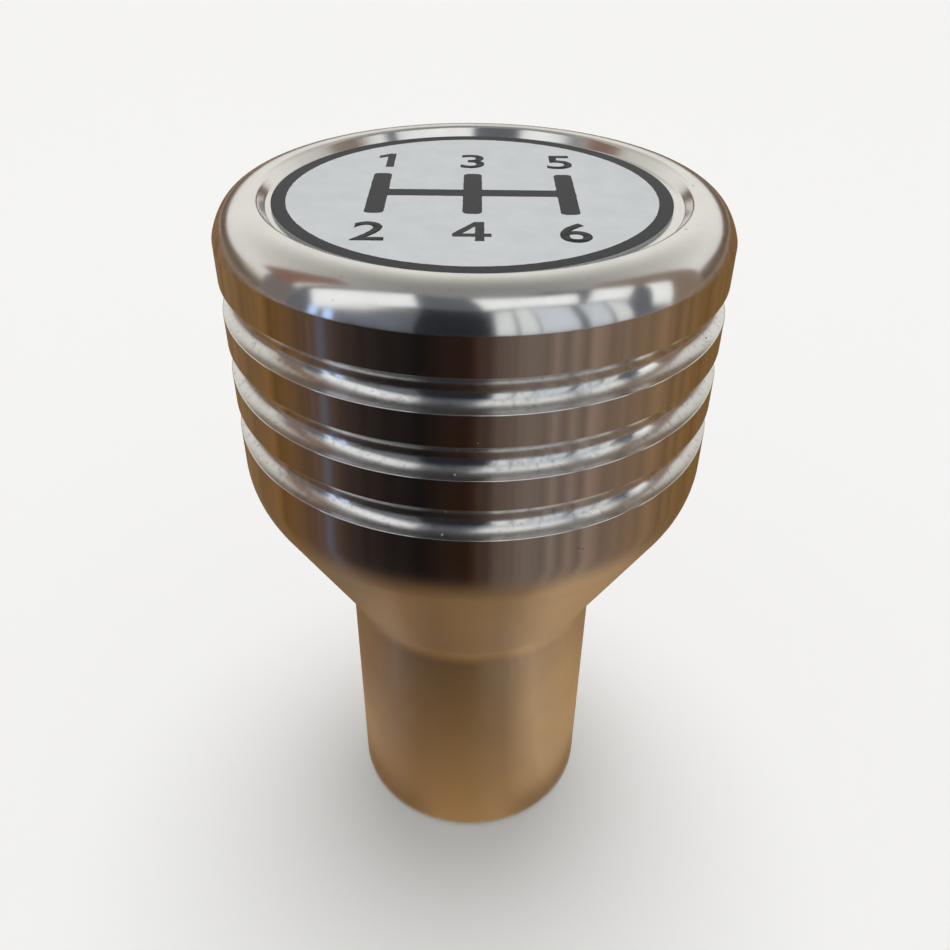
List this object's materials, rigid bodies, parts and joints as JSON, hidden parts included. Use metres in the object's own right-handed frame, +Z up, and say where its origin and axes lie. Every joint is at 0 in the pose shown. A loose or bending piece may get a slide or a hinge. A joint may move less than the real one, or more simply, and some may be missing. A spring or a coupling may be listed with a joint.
{
  "type": "gear shift knob",
  "caption": "Turned aluminium gear shift knob: round head with ring grooves, a polished crown and a recessed printed disc, on a plain neck tapped from below.",
  "frame": {"origin": "centre of the neck's bottom face, on the turning axis", "axes": "+Z up along the turning axis, from the neck to the head; +X to the right and -Y towards the driver when the print reads upright"},
  "size_m": [0.05, 0.05, 0.081],
  "materials": {
    "body_metal": "satin turned sides and neck, polished crown and grooves",
    "disc_print": "matt printed film, pale grey with a dark border"
  },
  "bodies": {
    "root": {"knob_body": "body_metal", "badge_disc": "disc_print"}
  },
  "joints": []
}
